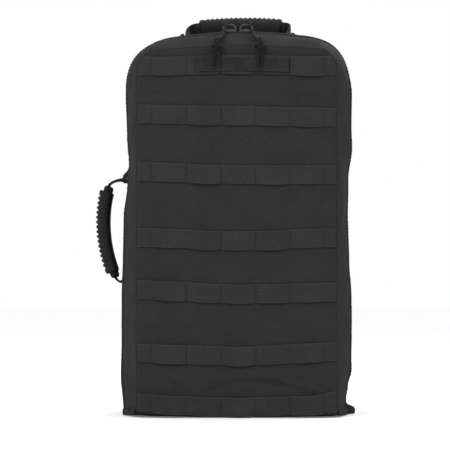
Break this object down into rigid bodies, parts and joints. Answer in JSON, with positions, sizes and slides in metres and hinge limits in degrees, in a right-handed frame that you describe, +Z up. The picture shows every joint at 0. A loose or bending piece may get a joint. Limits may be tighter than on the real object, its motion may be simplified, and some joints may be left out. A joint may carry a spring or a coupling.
{
  "type": "trauma backpack",
  "caption": "Tall clamshell medical backpack with rows of attachment webbing, two-way zip, ribbed grip handles and a padded harness.",
  "frame": {"origin": "centre of the underside of the base panel, on the surface that the pack stands on", "axes": "+Z up, front door faces -Y, harness faces +Y, +X to the right of someone who looks at the front"},
  "size_m": [0.3594, 0.2591, 0.5612],
  "materials": {
    "shell_fabric": "matte woven nylon with a coated back",
    "webbing": "ribbed nylon webbing",
    "hook_loop": "matte tape with a fine weave",
    "zip_tape": "woven tape",
    "zip_coil": "satin nylon coil",
    "slider_metal": "satin grey metal",
    "black_metal": "satin black enamel",
    "paracord": "braided sheath",
    "grip_rubber": "satin moulded rubber",
    "hard_plastic": "satin acetal",
    "air_mesh": "open spacer mesh",
    "open_mesh": "open net",
    "lining": "smooth lining with loop face",
    "frame_plastic": "translucent sheet",
    "stay_aluminium": "bare metal",
    "pouch_fabric": "coated nylon with a clear window"
  },
  "bodies": {
    "shell": {"base_panel": "shell_fabric", "rear_gusset": "shell_fabric", "back_panel": "shell_fabric", "zip_tape_rear": "zip_tape", "zip_coil_rear": "zip_coil", "drain_grommets": "black_metal", "frame_sheet": "frame_plastic", "frame_stays": "stay_aluminium", "back_lining": "lining", "kit_pouch_top": "pouch_fabric", "kit_pouch_middle": "pouch_fabric", "kit_pouch_bottom": "pouch_fabric", "back_pads": "air_mesh", "lumbar_pad": "air_mesh", "strap_yoke": "shell_fabric", "strap_wing_left": "shell_fabric", "strap_wing_right": "shell_fabric", "lower_web_left": "webbing", "lower_web_right": "webbing", "side_webbing": "webbing", "d_ring_tabs": "webbing", "top_handle_anchors": "webbing", "side_handle_anchors": "webbing"},
    "door": {"front_panel": "shell_fabric", "front_gusset": "shell_fabric", "zip_tape_front": "zip_tape", "zip_coil_front": "zip_coil", "webbing_row_1": "webbing", "webbing_row_2": "webbing", "webbing_row_3": "webbing", "webbing_row_4": "webbing", "webbing_row_5": "webbing", "webbing_row_6": "webbing", "webbing_row_7": "webbing", "name_tape": "hook_loop", "mesh_pocket_upper": "open_mesh", "mesh_pocket_lower": "open_mesh"},
    "slider_left": {"zip_slider_left": "slider_metal"},
    "pull_left": {"pull_cord_left": "paracord", "pull_knot_left": "paracord"},
    "strap_left": {"shoulder_strap_left": "shell_fabric", "ladder_lock_left": "hard_plastic", "sternum_slide_left": "hard_plastic"},
    "sternum_left": {"sternum_web_left": "webbing", "sternum_buckle_female": "hard_plastic"},
    "ring_left": {"d_ring_left": "black_metal"},
    "slider_right": {"zip_slider_right": "slider_metal"},
    "pull_right": {"pull_cord_right": "paracord", "pull_knot_right": "paracord"},
    "strap_right": {"shoulder_strap_right": "shell_fabric", "ladder_lock_right": "hard_plastic", "sternum_slide_right": "hard_plastic"},
    "sternum_right": {"sternum_web_right": "webbing", "sternum_buckle_male": "hard_plastic"},
    "ring_right": {"d_ring_right": "black_metal"},
    "top_handle": {"top_handle_strap": "webbing", "top_handle_grip": "grip_rubber"},
    "side_handle": {"side_handle_strap": "webbing", "side_handle_grip": "grip_rubber"}
  },
  "joints": [
    {"name": "door_hinge", "type": "hinge", "parent": "shell", "child": "door", "pos_m": [0, -0.098, 0.007], "axis": [1, 0, 0], "range_deg": [0, 90]},
    {"name": "slider_travel_left", "type": "hinge", "parent": "door", "child": "slider_left", "pos_m": [0, -0.03, -0.18], "axis": [0, -1, 0], "range_deg": [0, 5.3]},
    {"name": "pull_swing_left", "type": "hinge", "parent": "slider_left", "child": "pull_left", "pos_m": [-0.012, -0.03, 0.54415], "axis": [-1, 0, 0], "range_deg": [0, 100]},
    {"name": "strap_swing_left", "type": "hinge", "parent": "shell", "child": "strap_left", "pos_m": [-0.056, 0.1014, 0.476], "axis": [0.9945, 0, -0.1045], "range_deg": [0, 40]},
    {"name": "sternum_swing_left", "type": "hinge", "parent": "strap_left", "child": "sternum_left", "pos_m": [-0.06917, 0.142, 0.35069], "axis": [0.9945, 0, -0.1045], "range_deg": [0, 110]},
    {"name": "ring_swing_left", "type": "hinge", "parent": "shell", "child": "ring_left", "pos_m": [-0.15457, 0.058, 0.388], "axis": [0.0608, 0.9982, 0], "range_deg": [0, 110]},
    {"name": "slider_travel_right", "type": "hinge", "parent": "door", "child": "slider_right", "pos_m": [0, -0.03, -0.18], "axis": [0, 1, 0], "range_deg": [0, 5.3]},
    {"name": "pull_swing_right", "type": "hinge", "parent": "slider_right", "child": "pull_right", "pos_m": [0.012, -0.03, 0.54415], "axis": [-1, 0, 0], "range_deg": [0, 100]},
    {"name": "strap_swing_right", "type": "hinge", "parent": "shell", "child": "strap_right", "pos_m": [0.056, 0.1014, 0.476], "axis": [0.9945, 0, 0.1045], "range_deg": [0, 40]},
    {"name": "sternum_swing_right", "type": "hinge", "parent": "strap_right", "child": "sternum_right", "pos_m": [0.06917, 0.142, 0.35069], "axis": [0.9945, 0, 0.1045], "range_deg": [0, 110]},
    {"name": "ring_swing_right", "type": "hinge", "parent": "shell", "child": "ring_right", "pos_m": [0.15457, 0.058, 0.388], "axis": [0.0608, -0.9982, 0], "range_deg": [0, 110]},
    {"name": "top_handle_fold", "type": "hinge", "parent": "shell", "child": "top_handle", "pos_m": [0, 0.012, 0.53292], "axis": [1, 0, 0], "range_deg": [0, 100]},
    {"name": "side_handle_swing", "type": "hinge", "parent": "shell", "child": "side_handle", "pos_m": [-0.15844, 0.0324, 0.258], "axis": [0, 0, 1], "range_deg": [-62, 62]}
  ]
}
